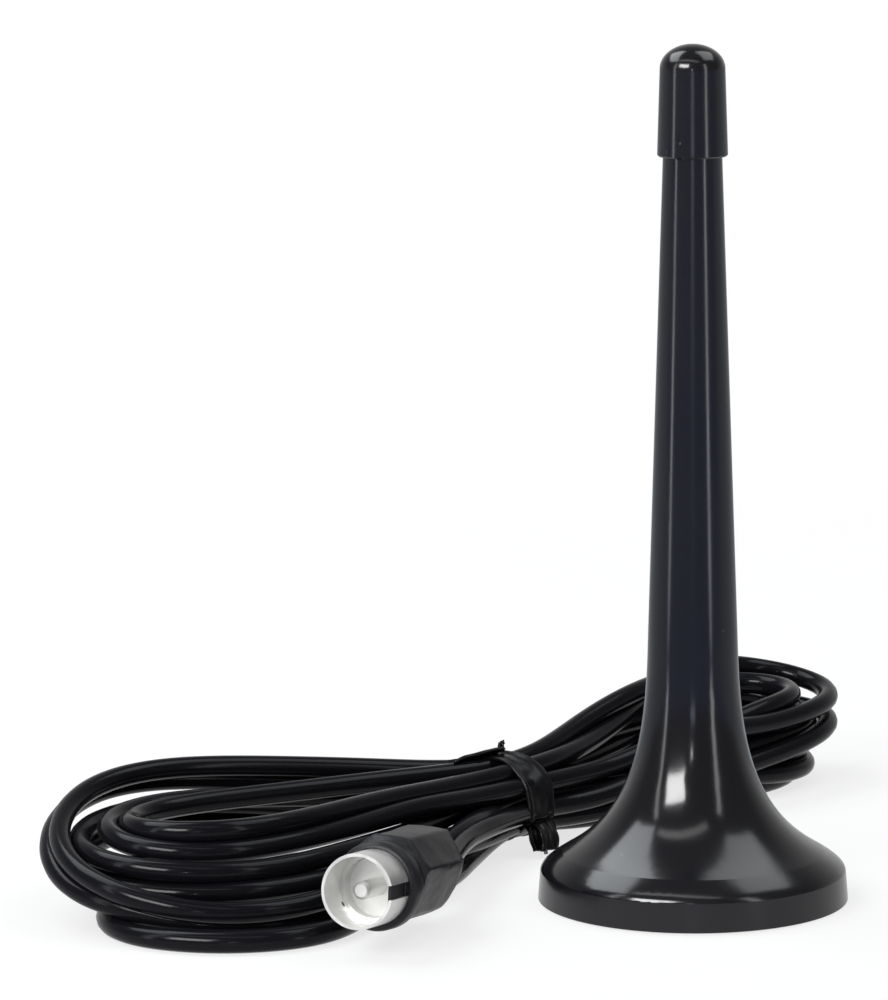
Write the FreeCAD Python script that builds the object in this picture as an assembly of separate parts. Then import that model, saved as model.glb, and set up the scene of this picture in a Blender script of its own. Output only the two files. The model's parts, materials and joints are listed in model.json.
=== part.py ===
"""Tabletop aerial with a magnetic foot, a telescopic whip and a tied coaxial lead.

The foot flows up into a slim tapered mast, moulded in one piece. A four-section whip slides out of
the mast by its domed cap. The lead leaves the back of the foot, lies tied in a hank beside it and
ends in a push-on aerial plug.

Frame: millimetres, origin at the centre of the foot's underside, +Z up the mast. The lead leaves
the foot towards +Y, and the plug's mouth looks towards -Y.
"""
import FreeCAD, Part
import math
import os
from FreeCAD import Placement, Rotation, Vector

# Foot and mast, one moulding
FOOT_RADIUS = 20.0
FOOT_WALL = 2.4                 # width of the rim's lower edge
RIM_LIFT = 0.2                  # the pad stands this far below the rim
RIM_HEIGHT = 3.9                # top of the nearly upright rim
RIM_DRAFT = 0.3                 # radius that the rim loses on its way up
SHOULDER_WIDTH = 3.4            # from the foot's edge in to the start of the flare
SHOULDER_SLOPE = math.radians(30.5)
FLARE_TOP = 31.6                # height where the flare runs into the straight taper
FLARE_UPPER_LENGTH = 13.1       # how far the flare follows the mast before it turns out
FLARE_LOWER_LENGTH = 9.0        # how far it follows the shoulder before it turns up
MAST_HEIGHT = 100.4
MAST_TOP_RADIUS = 3.63
MAST_FOOT_RADIUS = 5.84         # of the straight taper, at FLARE_TOP
MAST_TOP_CHAMFER = 0.25
WALL = 1.8
LEDGE_HEIGHT = 0.65             # upright step that the ground plate's ledge hangs from
RIB_WIDTH = 1.0
RIB_FOOT = 14.0                 # height where the inner ribs begin

# What the foot holds
PAD_THICKNESS = 0.8
MAGNET_THICKNESS = 3.0
MAGNET_ROOM_WIDTH = 5.6         # free space round the magnet, where the lead ends
MAGNET_HOLE_RADIUS = 4.0
PLATE_THICKNESS = 0.5
SEAT_CLEARANCE = 0.15           # round the pad and the plate

# Whip: a fixed tube in the mast, three sliding tubes and a rod
ROD_RADIUS = 0.9
SECTION_GAP = 0.4               # radius from one section to the next
TUBE_WALL = 0.25
TOP_STAGGER_HEIGHT = 0.8        # each section stands this far above the one round it
LIP_LENGTH = 1.2                # rolled-in mouth of each tube
LIP_CLEARANCE = 0.05
LIP_CHAMFER = 0.12
FOOT_RING_LENGTH = 0.8          # two raised rings at each section's foot
FOOT_RING_CLEARANCE = 0.04
SPRING_LENGTH = 4.0             # split sleeve between the rings
SPRING_CLEARANCE = 0.02
SPRING_SLIT = 0.6
SLEEVE_CLEARANCE = 0.03         # fixed tube in the mast's bore
SLEEVE_BOTTOM = 12.0
TERMINAL_PLUG_LENGTH = 4.0      # closes the fixed tube, and the sections land on it
TERMINAL_FLANGE_THICKNESS = 1.0
TERMINAL_FLANGE_RADIUS = 3.0
TERMINAL_TAIL_LENGTH = 3.4
TERMINAL_TAIL_RADIUS = 1.0

# Cap
CAP_HEIGHT = 14.2
CAP_OVERLAP = 4.2               # how far its skirt comes down over the mast
CAP_FOOT_RADIUS = 4.49
CAP_SHOULDER_RADIUS = 4.15
CAP_DOME_HEIGHT = 3.1
CAP_DOME_PULL = 0.55            # how far the dome's curve follows its side and its top
CAP_CLEARANCE = 0.1             # skirt round the mast
CAP_EDGE = 0.2
CAP_ROOM = 0.2                  # free space round the whip's tops
ROD_GRIP = 4.6                  # length of the rod held in the cap

# Lead
CABLE_RADIUS = 1.4
CABLE_EXIT_HEIGHT = 3.0
JACKET_INNER_LENGTH = 2.2       # of the lead inside the foot's chamber
CORNER_SHARE = 0.45             # of the shorter run, taken up by a rounded corner
TAIL_RUN = 3.0                  # straight lead behind the plug
LEAD_RUN = 9.0                  # straight lead behind the foot
SOLDER_HEIGHT = 8.6             # where the core meets the terminal's tail
CORE_STUB = 1.2                 # straight core in front of the jacket
BRAID_OFFSET = 0.9              # braid beside the core, and above it
BRAID_LENGTH = 3.7              # from the jacket sideways to the plate's solder spot
CORE_RADIUS = 0.75
BRAID_RADIUS = 0.4
GROMMET_WALL = 0.45
GROMMET_FLANGE_RADIUS = 2.1
GROMMET_FLANGE_THICKNESS = 0.9
GROMMET_COLLAR_RADIUS = 2.5
GROMMET_COLLAR_LENGTH = 2.6
GROMMET_CLEARANCE = 0.05
NOTCH_CLEARANCE = 0.5           # ground plate's notch beside the grommet and behind the magnet

# Hank, laid out from its tied waist
HANK_WAIST = Vector(-24.0, 31.5, 0.0)
HANK_HEADING = math.radians(46.6)
WAIST_HALF_LENGTH = 3.0         # the stretch that the tie draws together
WAIST_HALF_WIDTH = 6.6
WAIST_HEIGHT = 11.6
WAIST_LIFT = 1.2
HANK_STATIONS = [
    # along, across, half width, height, lean to the back, lift
    (-74.5, -0.5, 9.0, 8.0, 0.15, 1.0),
    (-68.0, -0.5, 18.5, 12.0, 0.35, 0.3),
    (-50.0, 0.2, 24.0, 13.0, 0.40, 0.3),
    (-30.0, 0.7, 18.0, 13.5, 0.30, 0.3),
    (-12.0, 0.5, 9.0, 12.8, 0.10, 0.6),
    (-WAIST_HALF_LENGTH, 0.0, WAIST_HALF_WIDTH, WAIST_HEIGHT, 0.00, WAIST_LIFT),
    (WAIST_HALF_LENGTH, 0.0, WAIST_HALF_WIDTH, WAIST_HEIGHT, 0.00, WAIST_LIFT),
    (14.0, 0.5, 7.6, 13.5, 0.05, 0.6),
    (34.0, 2.5, 10.2, 15.5, 0.10, 0.3),
    (52.0, 4.1, 11.4, 17.0, 0.12, 0.3),
    (63.0, 4.6, 8.8, 15.0, 0.10, 1.2),
    (67.0, 4.5, 5.0, 8.5, 0.05, 3.5),
]
SECTION_POINTS = 14
TIE_WIDTH = 4.0
TIE_THICKNESS = 0.6
TIE_CLEARANCE = 0.3
TIE_END_HEIGHT = 5.6            # where the twisted ends leave the strip
TIE_END_DRIFT = -0.35           # how far they turn along the hank as they come out
TIE_END_FALL = 1.1              # how far they fall as they come out
TIE_END_LENGTH = 5.0
TIE_END_RADIUS = 1.3
TIE_END_TIP_RADIUS = 0.9

# Plug, along its own axis from the mouth back to the lead
PLUG_MOUTH = Vector(-41.4, -34.0, 8.8)
PLUG_AXIS = Vector(0.331, 0.937, -0.113).normalize()
PLUG_SLEEVE_RADIUS = 4.75
PLUG_SLEEVE_WALL = 0.4
PLUG_SLEEVE_REACH = 5.5         # bare sleeve in front of the boot
PLUG_SLEEVE_LENGTH = 11.5
PLUG_SHANK_RADIUS = 4.25        # of the sleeve's drawn-in end, inside the boot
PLUG_LEDGE_DEPTH = 5.1          # from the mouth in to where the bore narrows
PLUG_SLOT_WIDTH = 1.8
PLUG_INSULATOR_DEPTH = 7.0      # from the mouth in to the white disc
PLUG_PIN_RADIUS = 1.15
PLUG_PIN_SHANK_RADIUS = 0.95    # of the pin inside the insulator and the boot
PLUG_PIN_RECESS = 1.3
PLUG_PIN_CHAMFER = 0.35
PLUG_PIN_LENGTH = 12.0
BOOT_COLLAR_RADIUS = 5.6
BOOT_COLLAR_LENGTH = 3.0
BOOT_BODY_RADIUS = 6.4
BOOT_BODY_LIFT = 0.4            # the body's middle above the plug's axis
BOOT_BODY_LENGTH = 12.0
BOOT_TAPER_LENGTH = 2.5
BOOT_NECK_RADIUS = 2.7
BOOT_NECK_LENGTH = 3.0
BOOT_END_RADIUS = 2.1
BOOT_GROOVE = 0.5
BOOT_FLAT_DEPTH = 0.5           # the body's flats, above and below
TROUGH_CLEARANCE = 0.4          # hank round the plug
SOCKET_WALL = 3.0               # room beside the sleeve for the socket

UP = Vector(0, 0, 1)
ORIGIN = Vector(0, 0, 0)

# Worked out from the sizes above
magnet_top = PAD_THICKNESS + MAGNET_THICKNESS
plate_top = magnet_top + PLATE_THICKNESS
cavity_radius = FOOT_RADIUS - FOOT_WALL
disc_radius = cavity_radius - SEAT_CLEARANCE
magnet_radius = cavity_radius - MAGNET_ROOM_WIDTH
jacket_end = cavity_radius - JACKET_INNER_LENGTH
shoulder = (FOOT_RADIUS - SHOULDER_WIDTH,
            plate_top + LEDGE_HEIGHT + WALL * math.cos(SHOULDER_SLOPE))
taper = (MAST_FOOT_RADIUS - MAST_TOP_RADIUS) / (MAST_HEIGHT - FLARE_TOP)
section_names = ["sleeve", "large", "middle", "small", "rod"]
rod_level = len(section_names) - 1
bore_radius = ROD_RADIUS + rod_level * SECTION_GAP + SLEEVE_CLEARANCE
landing = SLEEVE_BOTTOM + TERMINAL_PLUG_LENGTH
foot_length = 2 * FOOT_RING_LENGTH + SPRING_LENGTH + 2 * SPRING_CLEARANCE
cap_foot = MAST_HEIGHT - CAP_OVERLAP
neck_radius = CABLE_RADIUS + GROMMET_WALL
hank_along = Vector(math.cos(HANK_HEADING), math.sin(HANK_HEADING), 0)
hank_across = Vector(-math.sin(HANK_HEADING), math.cos(HANK_HEADING), 0)
shank_bore = PLUG_SHANK_RADIUS - PLUG_SLEEVE_WALL
boot_front = PLUG_SLEEVE_REACH
boot_body = boot_front + BOOT_COLLAR_LENGTH + BOOT_GROOVE
boot_taper = boot_body + BOOT_BODY_LENGTH
boot_neck = boot_taper + BOOT_TAPER_LENGTH
plug_length = boot_neck + BOOT_NECK_LENGTH


def flat(point):
    """A (radius, height) pair in the XZ plane."""
    return Vector(point[0], 0, point[1])


def line(start, end):
    return Part.makeLine(flat(start), flat(end))


def bezier(*poles):
    curve = Part.BezierCurve()
    curve.setPoles([flat(pole) for pole in poles])
    return curve.toShape()


def revolved(edges):
    """Solid of revolution about Z of a closed run of edges in the XZ plane."""
    return Part.Face(Part.Wire(edges)).revolve(ORIGIN, UP, 360)


def turned(*corners):
    """Solid of revolution about Z of a closed outline of (radius, height) corners."""
    closed = corners + corners[:1]
    return revolved([line(a, b) for a, b in zip(closed, closed[1:])])


def ring(inner, outer, low, high):
    return turned((inner, low), (outer, low), (outer, high), (inner, high))


def disc(radius, low, high):
    return Part.makeCylinder(radius, high - low, Vector(0, 0, low))


def back_cylinder(radius, near, far):
    """Cylinder along the lead's way out of the foot, between two distances from the mast's axis."""
    return Part.makeCylinder(radius, far - near, Vector(0, near, CABLE_EXIT_HEIGHT), Vector(0, 1, 0))


def flare(top, foot):
    """Curve from the straight taper down and out to the shoulder, tangent to both."""
    slant = math.hypot(taper, 1.0)
    below_top = (top[0] + FLARE_UPPER_LENGTH * taper / slant, top[1] - FLARE_UPPER_LENGTH / slant)
    before_foot = (foot[0] - FLARE_LOWER_LENGTH * math.cos(SHOULDER_SLOPE),
                   foot[1] + FLARE_LOWER_LENGTH * math.sin(SHOULDER_SLOPE))
    return bezier(foot, before_foot, below_top, top)


def mast_outside():
    """Solid inside the mast's outer skin: rim, shoulder, flare and straight taper."""
    rim_foot = (FOOT_RADIUS, RIM_LIFT)
    rim_top = (FOOT_RADIUS - RIM_DRAFT, RIM_HEIGHT)
    draft = RIM_DRAFT / (RIM_HEIGHT - RIM_LIFT)
    fall = math.tan(SHOULDER_SLOPE)
    # The shoulder's corner, where the rim's line meets the flare's lower tangent
    rise = shoulder[1] + fall * shoulder[0] - rim_top[1]
    corner_radius = (rim_top[0] - draft * rise) / (1 - draft * fall)
    corner = (corner_radius, shoulder[1] - fall * (corner_radius - shoulder[0]))
    taper_foot = (MAST_FOOT_RADIUS, FLARE_TOP)
    below_top = (MAST_TOP_RADIUS + taper * MAST_TOP_CHAMFER, MAST_HEIGHT - MAST_TOP_CHAMFER)
    top = (MAST_TOP_RADIUS - MAST_TOP_CHAMFER, MAST_HEIGHT)
    return revolved([
        line((0, RIM_LIFT), rim_foot),
        line(rim_foot, rim_top),
        bezier(rim_top, corner, shoulder),
        flare(taper_foot, shoulder),
        line(taper_foot, below_top),
        line(below_top, top),
        line(top, (0, MAST_HEIGHT)),
        line((0, MAST_HEIGHT), (0, RIM_LIFT)),
    ])


def mast_cavity():
    """Hollow of the moulding: the foot's chamber, the flare inside its wall and a tapered core."""
    inner_shoulder = (shoulder[0] - WALL * math.sin(SHOULDER_SLOPE), plate_top + LEDGE_HEIGHT)
    core_foot = (MAST_FOOT_RADIUS - WALL, FLARE_TOP)
    core_top = (bore_radius, FLARE_TOP + (core_foot[0] - bore_radius) / taper)
    return revolved([
        line((0, 0), (cavity_radius, 0)),
        line((cavity_radius, 0), (cavity_radius, plate_top)),
        line((cavity_radius, plate_top), (inner_shoulder[0], plate_top)),
        line((inner_shoulder[0], plate_top), inner_shoulder),
        flare(core_foot, inner_shoulder),
        line(core_foot, core_top),
        line(core_top, (0, core_top[1])),
        line((0, core_top[1]), (0, 0)),
    ])


def mast_shell():
    cavity = mast_cavity()
    bore = disc(bore_radius, RIB_FOOT, MAST_HEIGHT)
    rib = Part.makeBox(2 * FOOT_RADIUS, RIB_WIDTH, MAST_HEIGHT - RIB_FOOT,
                       Vector(-FOOT_RADIUS, -RIB_WIDTH / 2, RIB_FOOT))
    crossed = rib.copy()
    crossed.rotate(ORIGIN, UP, 90)
    ribs = rib.fuse(crossed).common(cavity).cut(bore)
    shell = mast_outside().cut(cavity).cut(bore).fuse(ribs)
    cable_hole = back_cylinder(neck_radius + GROMMET_CLEARANCE, jacket_end, FOOT_RADIUS + WALL)
    return shell.cut(cable_hole).removeSplitter()


def foot_pad():
    return disc(disc_radius, 0, PAD_THICKNESS)


def ring_magnet():
    return ring(MAGNET_HOLE_RADIUS, magnet_radius, PAD_THICKNESS, magnet_top)


def ground_plate():
    half = GROMMET_FLANGE_RADIUS + NOTCH_CLEARANCE
    depth = disc_radius - magnet_radius + NOTCH_CLEARANCE
    notch = Part.makeBox(2 * half, depth, PLATE_THICKNESS, Vector(-half, disc_radius - depth, magnet_top))
    return ring(MAGNET_HOLE_RADIUS, disc_radius, magnet_top, plate_top).cut(notch)


def section_radius(level):
    return ROD_RADIUS + (rod_level - level) * SECTION_GAP


def section_bore(level):
    return section_radius(level) - TUBE_WALL


def section_top(level):
    return MAST_HEIGHT + level * TOP_STAGGER_HEIGHT


def mouth_corners(level):
    """Upper end of a tube, from the outside round its rolled lip and down into the bore."""
    top = section_top(level)
    outer = section_radius(level)
    lip = section_radius(level + 1) + LIP_CLEARANCE
    return [(outer, top - LIP_CHAMFER), (outer - LIP_CHAMFER, top), (lip, top),
            (lip, top - LIP_LENGTH), (section_bore(level), top - LIP_LENGTH)]


def foot_corners(level):
    """Lower end of a sliding section: two raised rings with the spring's groove between them."""
    body = section_radius(level)
    raised = section_bore(level - 1) - FOOT_RING_CLEARANCE
    first = landing + FOOT_RING_LENGTH
    second = landing + foot_length - FOOT_RING_LENGTH
    return [(raised, landing), (raised, first), (body, first), (body, second),
            (raised, second), (raised, landing + foot_length), (body, landing + foot_length)]


def whip_sleeve():
    outer = section_radius(0)
    return turned((section_bore(0), SLEEVE_BOTTOM), (outer, SLEEVE_BOTTOM), *mouth_corners(0))


def whip_tube(level):
    return turned((section_bore(level), landing), *foot_corners(level), *mouth_corners(level))


def whip_rod():
    rod_top = section_top(rod_level) + CAP_ROOM + ROD_GRIP
    return turned((0, landing), *foot_corners(rod_level), (ROD_RADIUS, rod_top), (0, rod_top))


def friction_spring(level):
    low = landing + FOOT_RING_LENGTH + SPRING_CLEARANCE
    inner = section_radius(level) + SPRING_CLEARANCE
    outer = section_bore(level - 1) - SPRING_CLEARANCE
    slit = Part.makeBox(2 * outer, SPRING_SLIT, SPRING_LENGTH, Vector(0, -SPRING_SLIT / 2, low))
    return ring(inner, outer, low, low + SPRING_LENGTH).cut(slit)


def whip_terminal():
    plug = section_bore(0) - SPRING_CLEARANCE
    flange_low = SLEEVE_BOTTOM - TERMINAL_FLANGE_THICKNESS
    tail_low = flange_low - TERMINAL_TAIL_LENGTH
    return turned((0, tail_low), (TERMINAL_TAIL_RADIUS, tail_low), (TERMINAL_TAIL_RADIUS, flange_low),
                  (TERMINAL_FLANGE_RADIUS, flange_low), (TERMINAL_FLANGE_RADIUS, SLEEVE_BOTTOM),
                  (plug, SLEEVE_BOTTOM), (plug, landing), (0, landing))


def tip_cap():
    """Domed cap: a skirt over the mast's top, a hollow round the whip's tops and a hole for the rod."""
    top = cap_foot + CAP_HEIGHT
    shoulder_top = top - CAP_DOME_HEIGHT
    skirt = MAST_TOP_RADIUS + taper * CAP_OVERLAP + CAP_CLEARANCE
    hollow = section_radius(0) + CAP_ROOM
    hollow_top = section_top(rod_level) + CAP_ROOM
    rod_hole = ROD_RADIUS + SPRING_CLEARANCE
    rod_top = hollow_top + ROD_GRIP
    below = [(skirt, MAST_HEIGHT), (skirt, cap_foot), (CAP_FOOT_RADIUS - CAP_EDGE, cap_foot),
             (CAP_FOOT_RADIUS, cap_foot + CAP_EDGE), (CAP_SHOULDER_RADIUS, shoulder_top)]
    inside = [(0, top), (0, rod_top), (rod_hole, rod_top), (rod_hole, hollow_top), (hollow, hollow_top),
              (hollow, MAST_HEIGHT), (skirt, MAST_HEIGHT)]
    dome = bezier((CAP_SHOULDER_RADIUS, shoulder_top),
                  (CAP_SHOULDER_RADIUS, shoulder_top + CAP_DOME_PULL * CAP_DOME_HEIGHT),
                  (CAP_DOME_PULL * CAP_SHOULDER_RADIUS, top), (0, top))
    edges = [line(a, b) for a, b in zip(below, below[1:])]
    edges.append(dome)
    edges.extend(line(a, b) for a, b in zip(inside, inside[1:]))
    return revolved(edges)


def cable_grommet():
    """Strain relief: a collar fitted to the rim's outside, a neck through it and a flange within."""
    collar_end = FOOT_RADIUS + GROMMET_COLLAR_LENGTH
    collar = back_cylinder(GROMMET_COLLAR_RADIUS, cavity_radius, collar_end).cut(mast_outside())
    neck = back_cylinder(neck_radius, cavity_radius - GROMMET_FLANGE_THICKNESS, FOOT_RADIUS)
    flange_back = math.sqrt(cavity_radius ** 2 - GROMMET_FLANGE_RADIUS ** 2)
    flange = back_cylinder(GROMMET_FLANGE_RADIUS, flange_back - GROMMET_FLANGE_THICKNESS, flange_back)
    bore = back_cylinder(CABLE_RADIUS, 0, collar_end + WALL)
    return collar.fuse(neck).fuse(flange.common(mast_cavity())).cut(bore).removeSplitter()


def rounded_path(points):
    """Straight runs through the points, with every corner rounded as widely as its runs allow."""
    edges = []
    radii = []
    start = points[0]
    for before, corner, after in zip(points, points[1:], points[2:]):
        come = (corner - before).normalize()
        leave = (after - corner).normalize()
        half_turn = come.getAngle(leave) / 2
        trim = CORNER_SHARE * min((corner - before).Length, (after - corner).Length)
        radius = trim / math.tan(half_turn)
        inward = (leave - come).normalize()
        arc_start = corner - come * trim
        arc_end = corner + leave * trim
        arc_middle = corner + inward * (radius / math.cos(half_turn) - radius)
        edges.append(Part.LineSegment(start, arc_start).toShape())
        edges.append(Part.Arc(arc_start, arc_middle, arc_end).toShape())
        radii.append(radius)
        start = arc_end
    edges.append(Part.LineSegment(start, points[-1]).toShape())
    return Part.Wire(edges), radii


def tube_along(name, points, radius):
    path, radii = rounded_path(points)
    outline = Part.Wire(Part.makeCircle(radius, points[0], points[1] - points[0]))
    tube = path.makePipeShell([outline], True, False)
    expected = math.pi * radius ** 2 * path.Length
    print(name, "length", round(path.Length, 1), "bend radii", [round(r, 1) for r in radii],
          "volume over section times length", round(tube.Volume / expected, 4))
    return tube


def cable_lead():
    return tube_along("cable_lead", [
        Vector(0.0, jacket_end, CABLE_EXIT_HEIGHT),
        Vector(0.0, FOOT_RADIUS + LEAD_RUN, CABLE_EXIT_HEIGHT),
        Vector(0.8, FOOT_RADIUS + 25.0, 1.8),
        Vector(5.0, FOOT_RADIUS + 40.0, 2.2),
    ], CABLE_RADIUS)


def cable_tail():
    return tube_along("cable_tail", [
        PLUG_MOUTH + PLUG_AXIS * plug_length,
        PLUG_MOUTH + PLUG_AXIS * (plug_length + TAIL_RUN),
        Vector(-30.0, 6.5, 6.2),
        Vector(-26.0, 16.0, 6.2),
        Vector(-23.8, 24.4, 5.6),
    ], CABLE_RADIUS)


def core_wire():
    return tube_along("core_wire", [
        Vector(0.0, jacket_end, CABLE_EXIT_HEIGHT),
        Vector(0.0, jacket_end - CORE_STUB, CABLE_EXIT_HEIGHT),
        Vector(0.0, jacket_end - 3.8, 5.6),
        Vector(0.0, jacket_end - 8.9, SOLDER_HEIGHT),
        Vector(0.0, TERMINAL_TAIL_RADIUS + SPRING_CLEARANCE, SOLDER_HEIGHT),
    ], CORE_RADIUS)


def braid_pigtail():
    return tube_along("braid_pigtail", [
        Vector(BRAID_OFFSET, jacket_end, CABLE_EXIT_HEIGHT + BRAID_OFFSET),
        Vector(BRAID_OFFSET, jacket_end - BRAID_OFFSET, CABLE_EXIT_HEIGHT + BRAID_OFFSET),
        Vector(BRAID_OFFSET + 0.4 * BRAID_LENGTH, jacket_end - 2.1, plate_top + 2 * BRAID_RADIUS),
        Vector(BRAID_OFFSET + BRAID_LENGTH, jacket_end - 2.4, plate_top + BRAID_RADIUS),
    ], BRAID_RADIUS)


def on_hank(along, across, up):
    return HANK_WAIST + hank_along * along + hank_across * across + UP * up


def hank_section(along, across, half_width, height, lean, lift):
    """Closed outline across the hank, an oval that stands higher at the back."""
    points = []
    for step in range(SECTION_POINTS):
        turn = 2 * math.pi * step / SECTION_POINTS
        up = lift + height / 2 * (1 + math.sin(turn)) * (1 + lean * math.cos(turn))
        points.append(on_hank(along, across + half_width * math.cos(turn), up))
    curve = Part.BSplineCurve()
    curve.interpolate(points, PeriodicFlag=True)
    return Part.Wire(curve.toShape())


def plug_cylinder(radius, low, high):
    """Cylinder on the plug's axis, between two distances behind its mouth."""
    return Part.makeCylinder(radius, high - low, PLUG_MOUTH + PLUG_AXIS * low, PLUG_AXIS)


def cable_hank():
    """Outer form of the tied hank, with a trough where the plug lies in it."""
    hank = Part.makeLoft([hank_section(*station) for station in HANK_STATIONS], True, False)
    trough = plug_cylinder(BOOT_BODY_RADIUS + BOOT_BODY_LIFT + TROUGH_CLEARANCE, 0, plug_length)
    socket_room = plug_cylinder(PLUG_SLEEVE_RADIUS + SOCKET_WALL, 0, PLUG_SLEEVE_REACH)
    return hank.cut(trough).cut(socket_room)


def tie_loop(grow):
    """Oval round the hank's waist, as wide as the tie's strip."""
    oval = Part.Ellipse(ORIGIN, WAIST_HALF_WIDTH + grow, WAIST_HEIGHT / 2 + grow)
    face = Part.Face(Part.Wire(oval.toShape()))
    solid = face.extrude(UP * TIE_WIDTH)
    turn = Rotation(hank_across, UP, hank_along, "ZXY")
    solid.Placement = Placement(on_hank(-TIE_WIDTH / 2, 0, WAIST_LIFT + WAIST_HEIGHT / 2), turn)
    return solid


def twist_tie():
    """Flat wire tie: a strip round the waist, with its twisted ends lying out in front."""
    strip = tie_loop(TIE_CLEARANCE + TIE_THICKNESS).cut(tie_loop(TIE_CLEARANCE))
    start = on_hank(0, -WAIST_HALF_WIDTH - TIE_CLEARANCE - TIE_THICKNESS / 2, TIE_END_HEIGHT)
    out = (hank_along * TIE_END_DRIFT - hank_across - UP * TIE_END_FALL).normalize()
    ends = Part.makeCone(TIE_END_RADIUS, TIE_END_TIP_RADIUS, TIE_END_LENGTH, start, out)
    return strip.fuse(ends.cut(tie_loop(TIE_CLEARANCE))).removeSplitter()


def placed_on_plug(shape):
    """Turn a shape made along +Z from the mouth onto the plug's place, with its +X to the right."""
    turn = Rotation(Vector(1, 0, 0), UP, PLUG_AXIS, "ZXY")
    shape.Placement = Placement(PLUG_MOUTH, turn)
    return shape


def plug_sleeve():
    """Slotted sleeve, drawn in at its rear to a narrower shank that the boot holds."""
    mouth_bore = PLUG_SLEEVE_RADIUS - PLUG_SLEEVE_WALL
    sleeve = turned((mouth_bore, 0), (PLUG_SLEEVE_RADIUS, 0), (PLUG_SLEEVE_RADIUS, PLUG_SLEEVE_REACH),
                    (PLUG_SHANK_RADIUS, PLUG_SLEEVE_REACH), (PLUG_SHANK_RADIUS, PLUG_SLEEVE_LENGTH),
                    (shank_bore, PLUG_SLEEVE_LENGTH), (shank_bore, PLUG_LEDGE_DEPTH),
                    (mouth_bore, PLUG_LEDGE_DEPTH))
    slot = Part.makeBox(2 * PLUG_SLEEVE_RADIUS, PLUG_SLOT_WIDTH, PLUG_SLEEVE_REACH,
                        Vector(0, -PLUG_SLOT_WIDTH / 2, 0))
    return placed_on_plug(sleeve.cut(slot))


def plug_insulator():
    return placed_on_plug(ring(PLUG_PIN_SHANK_RADIUS, shank_bore, PLUG_INSULATOR_DEPTH, PLUG_SLEEVE_LENGTH))


def plug_pin():
    tip = PLUG_PIN_RECESS
    end = tip + PLUG_PIN_LENGTH
    return placed_on_plug(turned((0, tip), (PLUG_PIN_RADIUS - PLUG_PIN_CHAMFER, tip),
                                 (PLUG_PIN_RADIUS, tip + PLUG_PIN_CHAMFER),
                                 (PLUG_PIN_RADIUS, PLUG_INSULATOR_DEPTH),
                                 (PLUG_PIN_SHANK_RADIUS, PLUG_INSULATOR_DEPTH),
                                 (PLUG_PIN_SHANK_RADIUS, end), (0, end)))


def plug_boot():
    """Moulded body: a collar round the sleeve, a grip flat above and below, and a tapered neck."""
    groove_radius = BOOT_COLLAR_RADIUS - BOOT_GROOVE
    collar_end = boot_front + BOOT_COLLAR_LENGTH
    stem = turned((0, boot_front), (BOOT_COLLAR_RADIUS, boot_front), (BOOT_COLLAR_RADIUS, collar_end),
                  (groove_radius, collar_end), (groove_radius, boot_body), (BOOT_NECK_RADIUS, boot_body),
                  (BOOT_NECK_RADIUS, boot_neck), (BOOT_END_RADIUS, plug_length), (0, plug_length))
    grip = turned((0, boot_body), (BOOT_BODY_RADIUS, boot_body), (BOOT_BODY_RADIUS, boot_taper),
                  (BOOT_NECK_RADIUS, boot_neck), (0, boot_neck))
    block = Part.makeBox(2 * BOOT_BODY_RADIUS, 2 * BOOT_BODY_RADIUS, BOOT_BODY_LENGTH + BOOT_TAPER_LENGTH)
    near_flat = BOOT_BODY_RADIUS - BOOT_FLAT_DEPTH
    for side in (near_flat, -near_flat - 2 * BOOT_BODY_RADIUS):
        grip = grip.cut(block.translated(Vector(-BOOT_BODY_RADIUS, side, boot_body)))
    body = stem.fuse(grip.translated(Vector(0, BOOT_BODY_LIFT, 0))).removeSplitter()
    body = body.cut(disc(PLUG_SHANK_RADIUS, boot_front, PLUG_SLEEVE_LENGTH))
    body = body.cut(disc(PLUG_PIN_SHANK_RADIUS, boot_front, PLUG_PIN_RECESS + PLUG_PIN_LENGTH))
    return placed_on_plug(body)


def build():
    pieces = {
        "mast_shell": mast_shell(),
        "foot_pad": foot_pad(),
        "ring_magnet": ring_magnet(),
        "ground_plate": ground_plate(),
        "whip_sleeve": whip_sleeve(),
        "whip_terminal": whip_terminal(),
        "whip_rod": whip_rod(),
        "tip_cap": tip_cap(),
        "cable_grommet": cable_grommet(),
        "cable_lead": cable_lead(),
        "cable_hank": cable_hank(),
        "cable_tail": cable_tail(),
        "core_wire": core_wire(),
        "braid_pigtail": braid_pigtail(),
        "twist_tie": twist_tie(),
        "plug_boot": plug_boot(),
        "plug_sleeve": plug_sleeve(),
        "plug_insulator": plug_insulator(),
        "plug_pin": plug_pin(),
    }
    for level, name in enumerate(section_names):
        if 0 < level < rod_level:
            pieces["whip_tube_" + name] = whip_tube(level)
        if level > 0:
            pieces["friction_spring_" + name] = friction_spring(level)
            travel = section_top(level - 1) - LIP_LENGTH - landing - foot_length
            print(name, "slides", round(travel, 2))
    return pieces


os.makedirs("parts", exist_ok=True)
for node, shape in build().items():
    shape.exportStep("parts/" + node + ".step")
    print(node, "valid", shape.isValid(), "solids", len(shape.Solids), "volume", round(shape.Volume, 1))
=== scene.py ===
# %% [markdown]
# # A small magnetic-foot aerial, dressed for its picture
#
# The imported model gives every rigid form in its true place, in metres, with the foot on z = 0.
# This script adds what a solid model leaves out: the lead in its real turns, the wire tie, the
# moulded plug body, and a finish for every surface.
# Each step says what the thing is on the real object and how it could be made in Blender.

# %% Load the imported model
import json
import math

import bmesh
import bpy
import numpy as np
from mathutils import Matrix, Vector, noise

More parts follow.
